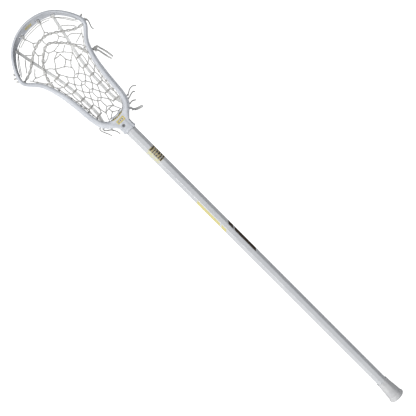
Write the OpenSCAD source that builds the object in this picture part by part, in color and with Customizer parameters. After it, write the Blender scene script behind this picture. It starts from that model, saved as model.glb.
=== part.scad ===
// Women's field lacrosse stick, lying face up.
// X runs along the shaft from the butt's flat end to the scoop, Z points out of the head's face,
// and Y is to the left when the stick is seen face on with the head up.

/* [Stick] */
// Length from the butt's flat end to the scoop's tip
stick_len = 1090; // [1040:5:1100]
// Length of the head from its collar to the scoop's tip
head_len = 292; // [284:2:300]
// Width of the head outside
head_w = 178; // [176:1:184]

/* [Shaft] */
// Width of the shaft across its flats
shaft_w = 22; // [21:0.5:22.5]
// Wall of the shaft
shaft_wall = 1.6; // [1.2:0.1:2]
// Radius of the shaft's rounded edges
shaft_edge_r = 2; // [1:0.5:2.5]
// Length of shaft inside the head
shaft_in_head = 35; // [30:1:36]
// Length of shaft inside the end cap
shaft_in_cap = 30; // [25:1:32]

/* [End cap] */
// Length of the end cap
cap_len = 50; // [48:1:60]
// Diameter of the cap's rolled lip
cap_lip_d = 35; // [33:0.5:37]
// Diameter of the cap where it meets the shaft
cap_neck_d = 26.8; // [26:0.2:28]

/* [Head] */
// Width of the collar across its flats
collar_w = 28; // [27.5:0.5:29]
// Thickness of the web between the upper and lower rails
web_t = 3.2; // [2.6:0.2:4]
// Diameter of the struts in the sidewalls
strut_d = 6; // [5:0.5:7]
// Diameter of the stringing holes
string_hole_d = 4.2; // [3.6:0.2:4.6]

/* [Screw] */
// Diameter of the screw's shank
screw_d = 3.5; // [3:0.25:4]
// Diameter of the screw's head
screw_head_d = 6.4; // [6:0.2:6.8]
// Length of the screw under its head
screw_len = 9; // [8:0.5:11]
// Distance of the screw to the left of the middle
screw_y = 4; // [0:0.5:4]

/* [Pocket] */
// Diameter of the lacing cord
lace_d = 2.2; // [2:0.1:2.6]
// Diameter of the shooting cords
shoot_d = 4.2; // [3.6:0.2:4.6]
// Width of the runner thongs
thong_w = 6; // [5:0.5:7]
// Thickness of the runner thongs
thong_t = 2; // [1.6:0.2:2.4]
// Thickness of the solid that stands for the net of cross lacing
net_t = 1.6; // [1.4:0.2:2]

/* [Hidden] */
eps = 0.01;
fit = 0.1;        // gap between the shaft and the head's socket
slide_gap = 0.3;  // gap between pieces that move past each other
collar_x = stick_len - head_len;
shaft_x0 = cap_len - shaft_in_cap;
shaft_x1 = collar_x + shaft_in_head;
len_k = head_len / 292;   // the outlines below are drawn for a head 292 long and 178 wide
width_k = head_w / 178;
screw_x = collar_x + 16.5 * len_k;
seat_z = 11.8;    // floor of the recess for the screw's head
rubber = [0.9, 0.9, 0.9];
rail_sides = 12;
cord_sides = 8;
pale = [0.93, 0.94, 0.95];
cord_white = [0.9, 0.89, 0.85];

// Stations along the left half of the head, from the throat to the scoop's tip:
// [x, y of the outer edge, top edge z, low edge z, upper rail width, inset of the lower rail]
STATIONS = [
    [15, 10, 12, -13, 9, 0], [19, 15, 13, -14, 10, 0], [27, 22.5, 13, -15, 11, 0],
    [35, 32, 12.5, -17, 12, 0], [47, 40.3, 11, -20.5, 12, 1], [67, 45, 7.5, -27, 11.5, 1],
    [89, 47, 4.5, -33.5, 11.5, 1], [111, 49, 3, -38, 11.5, 1], [142, 53.3, 2, -41, 10.5, 1],
    [172, 61.5, 4, -41.5, 9, 0.5], [186, 68.8, 7, -40, 8.5, 0], [202, 83, 10, -36, 7.5, 0.5],
    [209, 87.3, 12, -33, 7.2, 0.8], [217, 89, 14.5, -29, 7, 1], [226, 87.6, 17, -23.5, 6.6, 1.6],
    [238, 82.4, 20.5, -16, 6, 2.4], [253, 73.4, 25.5, -5.5, 5.4, 3.6], [267, 62, 30, 3.5, 4.8, 5.3],
    [278, 48.5, 33.2, 8.3, 4.6, 7.2], [286, 32, 35, 10.8, 4.5, 9.2], [290.5, 15, 35.8, 11.8, 4.5, 10.6],
    [292, 0, 36, 12, 4.5, 11]];
STATION_STEPS = 3;
SCOOP_STATION = 13;  // the web is whole from here to the scoop's tip
THROAT_STATION = 4;  // and from the throat to here
// Struts in each sidewall: [station of the top end, station of the low end]
STRUTS = [[4.7, 5.1], [5.5, 6.2], [6.9, 6.5], [7.3, 8.0], [8.7, 8.2], [9.1, 9.9], [10.9, 10.4], [11.4, 12.3]];
HOLE_STATIONS = [4.6, 5.6, 6.5, 7.4, 8.3, 9.2, 10.2];  // where the stringing holes go through the lower rails
// The throat's plate: left outline, inner edge round the ball's stop, and its side view as [x, z]
THROAT_OUTER = [[0, 12], [17, 12.5], [27, 20.5], [35, 29], [47, 36], [61.3, 38.7]];
THROAT_INNER = [[38.5, 0], [38.8, 8], [41, 18], [50, 27.5], [61.3, 32.2]];
THROAT_SIDE = [[0, -13], [18, -14], [62, -20.3], [62, 4.4], [47, 9], [34, 12.2], [18, 13], [0, 13]];
SLOT_Y = [25.5, 57];   // the scoop's slots, as the y where the outer edge passes them
SLOT_SIZE = [9, 4.5];

// Height of the pocket's middle along its length: [x, z]
POCKET_MIDDLE = [[36, -12], [48, -21], [60, -28], [75, -33.5], [92, -37], [115, -38.6], [150, -38.8],
    [172, -38.8], [195, -37], [210, -32.5], [226, -23.5], [240, -15], [255, -5], [268, 5.5], [274.5, 12]];
NET_EDGE_GAP = 2.4;  // the net's solid stops this far inside the tied edge
NET_ROWS = 26;
NET_COLUMNS = 10;

// Routes of the cords, as [x from the collar, y], laid on the pocket
THONG_ROUTE = [[263, 49], [250, 46.3], [232, 43], [213, 39.3], [190, 34], [163, 29], [141, 26], [120, 24.4],
    [98, 23.4], [80, 23.1], [64, 23.8], [53, 26.6], [46.5, 28]];
OUTER_ARCH = [[213, 77], [215, 68], [220, 57.5], [231, 42.5], [241.5, 26], [246.5, 12], [247.5, 0]];
INNER_ARCH = [[166, 49.5], [176, 47], [187, 44], [199, 39], [213, 28.5], [224.5, 16.5], [231, 6.5], [232, 0]];
SIDEWALL_ROUTE = [[208, 73], [197, 65.5], [183, 55.5], [168, 48], [150, 42.8], [132, 39.6], [112, 36.2], [92, 34],
    [73, 32.2], [60, 29.8], [52, 26.8]];
TOP_ROUTE = [[230, 75.5], [245, 65], [258, 52], [267, 39], [272.3, 24], [273.9, 10], [274.2, 0]];
THROAT_ROUTE = [[40.5, 19.5], [46, 16.5], [54, 13], [60, 9.5], [61.5, 4], [61.5, 0]];

// Loose cord ends, as [x from the collar, y, z], drooping to what the stick lies on
TAIL_RIGHT_1 = [[52, -45.5, -11], [54, -50, -14], [56.5, -55, -19], [57.5, -60, -25], [57, -65, -31],
    [54.5, -69, -35], [51.5, -71.5, -36.2]];
TAIL_RIGHT_2 = [[46.5, -42, -8], [47, -46, -11], [48, -50, -17], [48.3, -54, -24], [48, -57.5, -31],
    [47, -60, -35], [44.5, -61.5, -36]];
TAIL_RIGHT_3 = [[37.5, -36.5, -8], [37.3, -39.5, -11], [37, -42.5, -17], [36.2, -45, -24], [35, -47, -30],
    [33.5, -49, -34.5], [31.5, -51.5, -35.8]];
TAIL_LEFT_1 = [[44, 41.5, -10], [40.5, 43, -13], [36, 42.5, -19], [31.5, 40.8, -26], [26, 38.5, -32],
    [20, 36.2, -35.2], [14.5, 34.5, -35.8]];
TAIL_LEFT_2 = [[38.5, 37.3, -8], [36, 38.2, -12], [32.5, 36.5, -19], [29, 33, -26], [26.5, 29.5, -31.5],
    [23.5, 27, -34.6], [19, 25, -35.6]];
TAIL_LEFT_3 = [[27, 25, -7], [24.5, 25.4, -11], [21.5, 24.4, -17.5], [18, 22.8, -24.5], [14, 21.2, -31],
    [9.5, 20.4, -34.6], [5, 20, -35.4]];
THONG_TAIL = [[31.5, -30.5, -9], [28.5, -31.5, -12], [25, -32.3, -18], [21.8, -34.5, -25], [19, -38.5, -31],
    [16.8, -43.5, -34.3], [15.2, -48.5, -35.2], [14.2, -53, -35.4]];
SCOOP_TAIL = [[213, -92.4, -5], [210.5, -93.2, -9], [206.5, -92.6, -16], [202, -91.2, -23.5], [198, -90.2, -30.5],
    [194.5, -90, -36.5], [190.5, -91, -39.4]];
SHOOTING_TAIL_1 = [[157, -66, -17], [153, -67.5, -20], [147, -69, -26], [140.5, -70.5, -32], [134, -72, -36],
    [128.5, -73.5, -37.2], [124, -75, -37.4]];
SHOOTING_TAIL_2 = [[159, -71.5, -17], [155, -73, -20.5], [149, -75, -26.5], [142.5, -77, -32], [136, -78.3, -36],
    [130, -79.2, -37.2], [125, -79.8, -37.4]];

// A smooth curve through points of any length, with steps stretches between neighbours
function between(a, b, c, d, t) =
    0.5 * (2 * b + (c - a) * t + (2 * a - 5 * b + 4 * c - d) * t * t + (3 * b - a - 3 * c + d) * t * t * t);
function smooth(p, steps) = let (n = len(p) - 1) concat(
    [for (i = [0:n - 1], k = [0:steps - 1])
        between(p[max(i - 1, 0)], p[i], p[i + 1], p[min(i + 2, n)], k / steps)], [p[n]]);
function at(p, s) = let (i = min(floor(s), len(p) - 2), n = len(p) - 1)
    between(p[max(i - 1, 0)], p[i], p[i + 1], p[min(i + 2, n)], s - i);
function unit(v) = v / norm(v);
function mirrored(p) = [for (q = p) [for (i = [0:len(q) - 1]) i == 1 ? -q[i] : q[i]]];
function backwards(p) = [for (i = [len(p) - 1:-1:0]) p[i]];
// A left half that ends on the middle, joined to its mirror image
function both_halves(p) = concat(p, [for (i = [len(p) - 2:-1:0]) mirrored(p)[i]]);
// From the head's own coordinates to the stick's
function place(p) = [collar_x + p[0] * len_k, p[1] * width_k, p[2]];

// Height of the pocket's middle line and of its tied edge at x, and of the pocket at any point
function lookup_z(p, x, k) = let (i = [for (j = [0:len(p) - 2]) if (x >= p[j][0] && x <= p[j + 1][0]) j],
        j = len(i) == 0 ? (x < p[0][0] ? 0 : len(p) - 2) : i[0],
        t = max(0, min(1, (x - p[j][0]) / (p[j + 1][0] - p[j][0]))))
    p[j][k] * (1 - t) + p[j + 1][k] * t;
function edge_y(x) = lookup_z(pocket_edge, x, 1);
function pocket_z(x, y) = let (middle = lookup_z(POCKET_MIDDLE, x, 1), edge = lookup_z(pocket_edge, x, 2),
        across = min(1, abs(y) / max(edge_y(x), 1)))
    middle + (edge - middle) * across * across;
function on_pocket(route, lift = 0) = [for (p = route) place([p[0], p[1], pocket_z(p[0], p[1]) + lift])];

// Rings of points joined into one closed solid
module skin(rings) {
    n = len(rings[0]);
    last = (len(rings) - 1) * n;
    polyhedron(points = [for (r = rings) each r], faces = concat(
        [for (i = [0:len(rings) - 2], j = [0:n - 1]) let (k = (j + 1) % n)
            each [[i * n + j, i * n + k, (i + 1) * n + k], [i * n + j, (i + 1) * n + k, (i + 1) * n + j]]],
        [[for (j = [n - 1:-1:0]) j]], [[for (j = [0:n - 1]) last + j]]));
}
function tangent(p, i) = unit(p[min(i + 1, len(p) - 1)] - p[max(i - 1, 0)]);
function side_of(t) = unit(cross(t, [0, 0, 1]));
// A cord or strap swept along points: width across, thickness up, rounded
module sweep(points, width, thickness, sides) {
    skin([for (i = [0:len(points) - 1]) let (t = tangent(points, i), s = side_of(t), u = cross(s, t))
        [for (j = [0:sides - 1]) let (a = 360 * (j + 0.5) / sides)
            points[i] + s * cos(a) * width / 2 + u * sin(a) * thickness / 2]]);
}
module cord(points, d) sweep(points, d, d, cord_sides);
module tail(route, d = lace_d) color(cord_white) cord([for (p = smooth(route, 2)) place(p)], d);

// The shaft's outline: an octagon whose corners are arcs
module octagon(width) {
    c = (width / 2 - shaft_edge_r) / cos(22.5);
    for (a = [0:45:359]) rotate(a + 22.5) translate([c, 0]) circle(r = shaft_edge_r, $fn = 32);
    polygon([for (a = [0:45:359]) each let (p = [c * cos(a + 22.5), c * sin(a + 22.5)])
        [p + shaft_edge_r * [cos(a), sin(a)], p + shaft_edge_r * [cos(a + 45), sin(a + 45)]]]);
}

module shaft_tube() {
    color(pale) difference() {
        translate([shaft_x0, 0, 0]) rotate([0, 90, 0]) linear_extrude(shaft_x1 - shaft_x0) octagon(shaft_w);
        translate([shaft_x0 - eps, 0, 0]) rotate([0, 90, 0])
            linear_extrude(shaft_x1 - shaft_x0 + 2 * eps) octagon(shaft_w - 2 * shaft_wall);
        translate([screw_x, screw_y, 0]) cylinder(d = screw_d + 2 * slide_gap, h = shaft_w, $fn = 48);
    }
}

// A rubber cap that flares to a rolled lip, turned about the shaft's axis
module end_cap() {
    lip_r = 4;
    neck = cap_neck_d / 2;
    lip = cap_lip_d / 2;
    flat_r = lip - lip_r;
    color(rubber) difference() {
        rotate([0, 90, 0]) rotate_extrude($fn = 96) {
            translate([flat_r, lip_r]) circle(r = lip_r, $fn = 48);
            polygon([[0, 0], [flat_r, 0], [flat_r + lip_r * cos(24), lip_r * (1 + sin(24))], [neck + 1.3, 24], [neck, 36],
                [neck, cap_len - 1], [neck - 0.8, cap_len], [0, cap_len]]);
        }
        translate([cap_len - shaft_in_cap - slide_gap, 0, 0]) rotate([0, 90, 0])
            linear_extrude(shaft_in_cap + 2) octagon(shaft_w + 2 * slide_gap);
    }
}

// Points of the upper and lower rails at every station of the whole frame
frame_path = both_halves(smooth(STATIONS, STATION_STEPS));
function frame_out(p, i) = let (n = len(p) - 1, t = unit([for (k = [0, 1]) p[min(i + 1, n)][k] - p[max(i - 1, 0)][k]]))
    [-t[1], t[0], 0];
function upper_h(w) = 3.2 + w * 0.4;
function lower_w(w) = 2.6 + w * 0.45;
function lower_h(w) = 3 + w * 0.35;
function upper_at(p, out) = [p[0], p[1], p[2] - upper_h(p[4]) / 2] - out * p[4] / 2;
function lower_at(p, out) = [p[0], p[1], p[3] + lower_h(p[4]) / 2] - out * (p[4] / 2 + p[5]);
// Inner edge of the lower rails, where the pocket is tied, from the throat to the scoop's middle
pocket_edge = [for (i = [THROAT_STATION:len(STATIONS) - 1]) let (p = STATIONS[i], o = i == len(STATIONS) - 1 ? [1, 0, 0]
    : frame_out(STATIONS, i)) lower_at(p, o) - o * lower_w(p[4]) / 2];
function rail_ring(c, out, w, h) = [for (j = [0:rail_sides - 1]) let (a = 360 * (j + 0.5) / rail_sides,
        x = cos(a), z = sin(a), k = pow(pow(abs(x), 3) + pow(abs(z), 3), -1 / 3))
    place(c + out * x * k * w / 2 + [0, 0, z * k * h / 2])];
function web_ring(p, out) = let (a = upper_at(p, out), b = lower_at(p, out), t = out * web_t / 2)
    [place(a + t), place(a - t), place(b - t), place(b + t)];

module upper_rail() skin(backwards([for (i = [0:len(frame_path) - 1]) let (p = frame_path[i], o = frame_out(frame_path, i))
    rail_ring(upper_at(p, o), o, p[4], upper_h(p[4]))]));
module lower_rail() skin(backwards([for (i = [0:len(frame_path) - 1]) let (p = frame_path[i], o = frame_out(frame_path, i))
    rail_ring(lower_at(p, o), o, lower_w(p[4]), lower_h(p[4]))]));
module web(from, to) skin(backwards([for (i = [from:to]) web_ring(frame_path[i], frame_out(frame_path, i))]));

module strut(top_s, low_s, side) {
    p = at(STATIONS, top_s);
    q = at(STATIONS, low_s);
    po = unit([for (k = [0, 1]) at(STATIONS, top_s + 0.05)[k] - p[k]]);
    qo = unit([for (k = [0, 1]) at(STATIONS, low_s + 0.05)[k] - q[k]]);
    mirror([0, side, 0]) hull() {
        translate(place(upper_at(p, [-po[1], po[0], 0]))) sphere(d = strut_d, $fn = 10);
        translate(place(lower_at(q, [-qo[1], qo[0], 0]))) sphere(d = strut_d - 1, $fn = 10);
    }
}

// The throat: a plate between the rails that narrows to the shaft's socket
module throat() {
    outer = smooth(THROAT_OUTER, 4);
    mouth = both_halves(backwards(smooth(THROAT_INNER, 4)));
    translate([collar_x, 0, 0]) scale([len_k, width_k, 1]) intersection() {
        translate([0, 0, -20]) linear_extrude(34) polygon(concat(outer, mouth, backwards(mirrored(outer))));
        rotate([90, 0, 0]) translate([0, 0, -60]) linear_extrude(120) polygon(THROAT_SIDE);
    }
    collar_r = collar_w / 2 / cos(22.5);
    translate([collar_x, 0, 0]) rotate([0, 90, 0]) rotate(22.5) {
        cylinder(r = collar_r, h = 23.3 * len_k, $fn = 8);
        cylinder(r = collar_r + 0.7, h = 4, $fn = 8);
    }
}

module scoop_slot(y) {
    // Slots go through the scoop's lower half along its slope
    i = lookup_z([for (k = [SCOOP_STATION:len(STATIONS) - 1]) [-STATIONS[k][1], k]], -y, 1);
    p = at(STATIONS, i);
    o = frame_out([at(STATIONS, i - 0.1), p, at(STATIONS, min(i + 0.1, len(STATIONS) - 1))], 1);
    c = lower_at(p, o) + [0, 0, 6.5] + o * 2;
    translate(place(c)) rotate([0, 0, atan2(o[1], o[0])]) cube([24, SLOT_SIZE[0], SLOT_SIZE[1]], center = true);
}

module string_hole(s) {
    p = at(STATIONS, s);
    o = frame_out([at(STATIONS, s - 0.1), p, at(STATIONS, s + 0.1)], 1);
    translate(place(lower_at(p, o))) rotate([0, 90, atan2(o[1], o[0])])
        rotate(7) cylinder(d = string_hole_d, h = 30, center = true, $fn = 12);
}

module head_frame() {
    scoop_from = SCOOP_STATION * STATION_STEPS;
    throat_to = THROAT_STATION * STATION_STEPS;
    last = len(frame_path) - 1;
    color([0.88, 0.9, 0.93]) difference() {
        union() {
            upper_rail();
            lower_rail();
            web(scoop_from, last - scoop_from);
            web(0, throat_to);
            web(last - throat_to, last);
            for (s = STRUTS, side = [0, 1]) strut(s[0], s[1], side);
            throat();
        }
        for (side = [0, 1]) mirror([0, side, 0]) {
            for (y = SLOT_Y) scoop_slot(y);
            for (s = HOLE_STATIONS) string_hole(s);
        }
        translate([collar_x - eps, 0, 0]) rotate([0, 90, 0])
            linear_extrude(shaft_in_head + eps) octagon(shaft_w + 2 * fit);
        translate([screw_x, screw_y, 0]) cylinder(d = screw_d + 2 * slide_gap, h = 30, $fn = 32);
        translate([screw_x, screw_y, seat_z]) cylinder(d = screw_head_d + 2 * slide_gap, h = 30, $fn = 32);
    }
}

// A crescent of foam on the throat's inner edge, where the ball comes to rest
module ball_stop() {
    arc_r = 24;
    foam_t = 2.5;
    back_x = THROAT_INNER[0][0];
    color([0.82, 0.82, 0.84]) translate([collar_x, 0, 0]) scale([len_k, width_k, 1])
        translate([0, 0, -11]) linear_extrude(20) difference() {
            translate([back_x + arc_r + 0.05, 0]) circle(r = arc_r, $fn = 64);
            translate([back_x + arc_r + foam_t, 0]) circle(r = arc_r, $fn = 64);
            translate([back_x + 5.5, -40]) square([60, 80]);
        }
}

module head_screw() {
    head_h = 1.8;
    point_h = 2;
    color([0.25, 0.26, 0.28]) translate([screw_x, screw_y, seat_z + 0.2]) difference() {
        union() {
            cylinder(d = screw_head_d, h = head_h, $fn = 64);
            translate([0, 0, -screw_len + point_h]) cylinder(d = screw_d, h = screw_len - point_h + eps, $fn = 48);
            translate([0, 0, -screw_len]) cylinder(d1 = 1, d2 = screw_d, h = point_h, $fn = 48);
        }
        for (a = [0, 90]) rotate(a) translate([0, 0, head_h - 0.5]) cube([3.6, 0.9, 2.2], center = true);
    }
}

// The net of cross lacing as one thin dished solid, tied inside the lower rails
module cross_lacing() {
    x0 = 48;
    x1 = 269;
    function net_x(i) = x0 + (x1 - x0) * i / NET_ROWS;
    function half_w(x) = edge_y(x) - NET_EDGE_GAP;
    function ring(i, lift) = [for (j = [0:NET_COLUMNS]) let (x = net_x(i), y = half_w(x) * (1 - 2 * j / NET_COLUMNS))
        place([x, y, pocket_z(x, y) + lift])];
    color(cord_white)
        skin(backwards([for (i = [0:NET_ROWS]) concat(ring(i, net_t / 2), backwards(ring(i, -net_t / 2)))]));
}

module thong(side) color(cord_white) mirror([0, side, 0])
    sweep(smooth(on_pocket(THONG_ROUTE), 2), thong_w, thong_t, 8);
module left_thong() thong(0);
module right_thong() thong(1);
module outer_shooting_string() color(cord_white) cord(smooth(on_pocket(both_halves(OUTER_ARCH), 1.5), 2), shoot_d);
module inner_shooting_string() color(cord_white) cord(smooth(on_pocket(both_halves(INNER_ARCH), 1.5), 2), shoot_d);
module top_string() color(cord_white) cord(smooth(on_pocket(both_halves(TOP_ROUTE)), 2), lace_d);
module throat_lacing() color(cord_white) cord(smooth(on_pocket(both_halves(THROAT_ROUTE)), 2), lace_d);
module sidewall_string(side) color(cord_white) mirror([0, side, 0])
    cord(smooth(on_pocket(SIDEWALL_ROUTE), 3), lace_d);
module left_sidewall_string() sidewall_string(0);
module right_sidewall_string() sidewall_string(1);

// An overhand knot: a cord along a three-lobed loop that is 8.2 across before it is scaled to size
module knot(where, size, turn) {
    turns = 30;
    s = size / 8.2;
    d = 1.35 * s;
    pts = [for (i = [0:turns - 1]) let (a = 360 * i / turns + 6)
        s * [sin(a) + 2 * sin(2 * a), cos(a) - 2 * cos(2 * a), -1.2 * sin(3 * a)]];
    rings = [for (i = [0:turns - 1]) let (t = unit(pts[(i + 1) % turns] - pts[(i + turns - 1) % turns]),
            u = unit(cross(t, [0, 0, 1])), v = cross(u, t))
        [for (j = [0:7]) let (a = 45 * j) pts[i] + (u * cos(a) + v * sin(a)) * d / 2]];
    color(cord_white) translate(place(where)) rotate(turn)
        polyhedron(points = [for (r = rings) each r], faces = [for (i = [0:turns - 1], j = [0:7])
            let (k = (j + 1) % 8, m = (i + 1) % turns)
            each [[i * 8 + j, i * 8 + k, m * 8 + k], [i * 8 + j, m * 8 + k, m * 8 + j]]]);
}
module left_scoop_knot() knot([229, 88.6, -3], 8, [90, 0, 65]);
module right_scoop_knot() knot([216, -90.4, -2], 9, [90, 0, 0]);
module sidewall_knot() knot([160.5, -62.5, -15], 12, [90, 0, 20]);

module throat_tail_right_1() tail(TAIL_RIGHT_1);
module throat_tail_right_2() tail(TAIL_RIGHT_2);
module throat_tail_right_3() tail(TAIL_RIGHT_3);
module throat_tail_left_1() tail(TAIL_LEFT_1);
module throat_tail_left_2() tail(TAIL_LEFT_2);
module throat_tail_left_3() tail(TAIL_LEFT_3);
module scoop_tail() tail(SCOOP_TAIL);
module shooting_tail_1() tail(SHOOTING_TAIL_1, 3.6);
module shooting_tail_2() tail(SHOOTING_TAIL_2, 3.6);
module thong_tail() color(cord_white)
    sweep([for (p = smooth(THONG_TAIL, 2)) place(p)], 5.6, thong_t, cord_sides);

shaft_tube();
end_cap();
head_frame();
ball_stop();
head_screw();
cross_lacing();
left_thong();
right_thong();
outer_shooting_string();
inner_shooting_string();
top_string();
left_sidewall_string();
right_sidewall_string();
throat_lacing();
left_scoop_knot();
right_scoop_knot();
sidewall_knot();
throat_tail_right_1();
throat_tail_right_2();
throat_tail_right_3();
thong_tail();
throat_tail_left_1();
throat_tail_left_2();
throat_tail_left_3();
scoop_tail();
shooting_tail_1();
shooting_tail_2();
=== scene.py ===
# %% [markdown]
# # A women's lacrosse stick
# The stick lies face up. X runs along the shaft from the butt to the scoop, Y is the left side of the head
# and Z points out of its face. Everything is in metres. The frame brings the solids that were drawn for the
# moulded head, the shaft, the end cap, the screw and every string, and each is either given a finish here or
# replaced by a finer piece in the same place.

import math
import random

import bmesh
import bpy
from mathutils import Matrix, Vector, kdtree, noise


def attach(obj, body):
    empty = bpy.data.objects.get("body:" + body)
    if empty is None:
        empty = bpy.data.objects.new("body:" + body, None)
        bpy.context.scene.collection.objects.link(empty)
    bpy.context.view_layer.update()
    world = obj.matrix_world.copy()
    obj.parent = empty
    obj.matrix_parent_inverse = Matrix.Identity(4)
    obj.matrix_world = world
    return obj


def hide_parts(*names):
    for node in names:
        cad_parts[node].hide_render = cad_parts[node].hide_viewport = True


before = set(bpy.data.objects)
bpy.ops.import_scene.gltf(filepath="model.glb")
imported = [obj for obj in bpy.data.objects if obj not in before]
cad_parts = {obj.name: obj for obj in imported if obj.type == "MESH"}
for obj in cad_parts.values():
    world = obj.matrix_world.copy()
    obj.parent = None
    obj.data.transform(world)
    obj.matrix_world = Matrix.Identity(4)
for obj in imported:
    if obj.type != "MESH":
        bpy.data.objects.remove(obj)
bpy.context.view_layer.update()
bpy.ops.object.select_all(action="DESELECT")
random.seed(11)
print("solids in the frame:", len(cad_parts))

# %% [markdown]
# ## Camera
# The stick is looked at face on from a little over two metres, leaning slightly towards the butt, with the
# head in the upper left corner. A camera can be turned by its angles, but here its three directions are
# worked out from the line of sight and the shaft, so that the shaft runs exactly along the diagonal.

# %% Camera
EYE = Vector((0.9973, 0.0399, 2.3))
TILT, YAW = math.radians(10.40), math.radians(0.95)
sight = Vector((-math.sin(TILT) * math.cos(YAW), -math.sin(YAW), -math.cos(TILT) * math.cos(YAW)))
shaft_up = sight.cross(Vector((1, 0, 0))).cross(sight).normalized()
shaft_right = sight.cross(shaft_up)
picture_right = (shaft_right - shaft_up).normalized()
picture_up = (shaft_right + shaft_up).normalized()
camera = bpy.data.objects.new("camera", bpy.data.cameras.new("camera"))
bpy.context.collection.objects.link(camera)
camera.data.lens, camera.data.sensor_width, camera.data.clip_end = 99.9, 36, 20
turn = Matrix((picture_right, picture_up, -sight)).transposed().to_4x4()
camera.matrix_world = Matrix.Translation(EYE) @ turn
bpy.context.scene.camera = camera
print("camera at", [round(v, 3) for v in EYE])

# %% [markdown]
# ## Floor and light
# The stick rests on the cap's lip and on the low rails of the head, so the floor leans by little over a
# degree to touch both. A large soft lamp on the left, a weaker one high beyond the scoop and a dim sky give
# the white plastic its light left flanks and grey right flanks. The floor and the sky glow, but only to the
# camera, so they are white with hardly a shadow and still throw no more light on the stick.

# %% Floor and light
LIP_POINT, RAIL_POINT = Vector((0.005, 0, -0.0179)), Vector((0.963, 0, -0.0419))
LAMPS_AIM = Vector((0.6, 0, 0))
slope = (RAIL_POINT - LIP_POINT).normalized()
bpy.ops.mesh.primitive_circle_add(vertices=64, radius=7, fill_type="NGON", location=(0, 0, 0))
floor = bpy.context.object
floor.name = "floor"
lean = Matrix((slope, Vector((0, 1, 0)), slope.cross(Vector((0, 1, 0))))).transposed().to_4x4()
floor.data.transform(Matrix.Translation(LIP_POINT) @ lean)
floor.select_set(False)


def soft_lamp(name, place, size, power):
    lamp = bpy.data.lights.new(name, "AREA")
    lamp.shape, lamp.size, lamp.energy = "DISK", size, power
    thing = bpy.data.objects.new(name, lamp)
    bpy.context.collection.objects.link(thing)
    thing.location = place
    thing.rotation_euler = (LAMPS_AIM - place).to_track_quat("-Z", "Y").to_euler()


def glow_for_camera(tree, socket, base, extra):
    """What the camera sees glows by base + extra, while the stick only gets light from the base."""
    seen = tree.nodes.new("ShaderNodeLightPath").outputs["Is Camera Ray"]
    total = tree.nodes.new("ShaderNodeMath")
    total.operation = "MULTIPLY_ADD"
    total.inputs[1].default_value, total.inputs[2].default_value = extra, base
    tree.links.new(seen, total.inputs[0])
    tree.links.new(total.outputs[0], socket)


soft_lamp("left_lamp", Vector((-0.2, 3.3, 2.2)), 1.8, 86)
soft_lamp("top_lamp", Vector((2.4, 0.3, 3.5)), 2.2, 60)
sky = bpy.data.worlds.new("sky")
sky.use_nodes = True
air = sky.node_tree.nodes["Background"].inputs
air["Color"].default_value = (0.90, 0.94, 1, 1)
glow_for_camera(sky.node_tree, air["Strength"], 0.21, 0.95)
bpy.context.scene.world = sky
bpy.context.scene.view_settings.view_transform = "Standard"
paper = bpy.data.materials.new("pale_floor")
paper.use_nodes = True
glow = paper.node_tree.nodes["Principled BSDF"].inputs
glow["Base Color"].default_value = (0.45, 0.45, 0.45, 1)
glow["Roughness"].default_value = 0.9
glow["Emission Color"].default_value = (1, 1, 1, 1)
glow_for_camera(paper.node_tree, glow["Emission Strength"], 0.0, 1.0)
floor.data.materials.append(paper)
print("floor leans", round(math.degrees(math.asin(-slope.z)), 2), "degrees")

# %% [markdown]
# ## Finishes: how the nodes are written
# Every finish is a small node tree. Short helpers keep the trees readable: add makes a node and joins what
# is given to it, calc makes a Math node, mixed blends two colours, speckle is a patchy noise from 0 to 1, and
# in_box is 1 between limits on several values. Patterns on hard pieces read Object coordinates, in metres, so
# they stay where they are whatever the mesh looks like.


# %% Node helpers
def add(tree, kind, inputs=(), **settings):
    made = tree.nodes.new("ShaderNode" + kind)
    for key, value in settings.items():
        setattr(made, key, value)
    for key, value in dict(inputs).items():
        if isinstance(value, bpy.types.NodeSocket):
            tree.links.new(value, made.inputs[key])
        else:
            made.inputs[key].default_value = value
    return made


def calc(tree, operation, *values):
    return add(tree, "Math", enumerate(values), operation=operation).outputs[0]


def mixed(tree, amount, low, high):
    """The colour low where amount is 0, and high where it is 1."""
    return add(tree, "Mix", {0: amount, 6: low, 7: high}, data_type="RGBA").outputs[2]


def speckle(tree, where, scale, low=0.35, high=0.65, detail=3.0):
    cloud = add(tree, "TexNoise", {"Vector": where, "Scale": scale, "Detail": detail})
    spread = {"Value": cloud.outputs["Fac"], "From Min": low, "From Max": high}
    return add(tree, "MapRange", spread).outputs["Result"]


def inside(tree, value, low, high):
    above = calc(tree, "GREATER_THAN", value, low)
    return calc(tree, "MULTIPLY", above, calc(tree, "LESS_THAN", value, high))


def all_of(tree, first, *others):
    for other in others:
        first = calc(tree, "MULTIPLY", first, other)
    return first


def in_box(tree, *limits):
    return all_of(tree, *[inside(tree, value, low, high) for value, low, high in limits])


def new_finish(name):
    """A material, its node tree, its shader and the place on the object that its patterns read."""
    finish = bpy.data.materials.new(name)
    finish.use_nodes = True
    tree = finish.node_tree
    return finish, tree, tree.nodes["Principled BSDF"], add(tree, "TexCoord").outputs["Object"]


def xyz_of(tree, spot):
    return add(tree, "SeparateXYZ", {0: spot}).outputs[:3]


def join_up(tree, shader, colour, rough, height, distance):
    tree.links.new(colour, shader.inputs["Base Color"])
    tree.links.new(rough, shader.inputs["Roughness"])
    bump = add(tree, "Bump", {"Height": height, "Distance": distance, "Strength": 0.6})
    tree.links.new(bump.outputs[0], shader.inputs["Normal"])


print("helpers ready")
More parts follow.
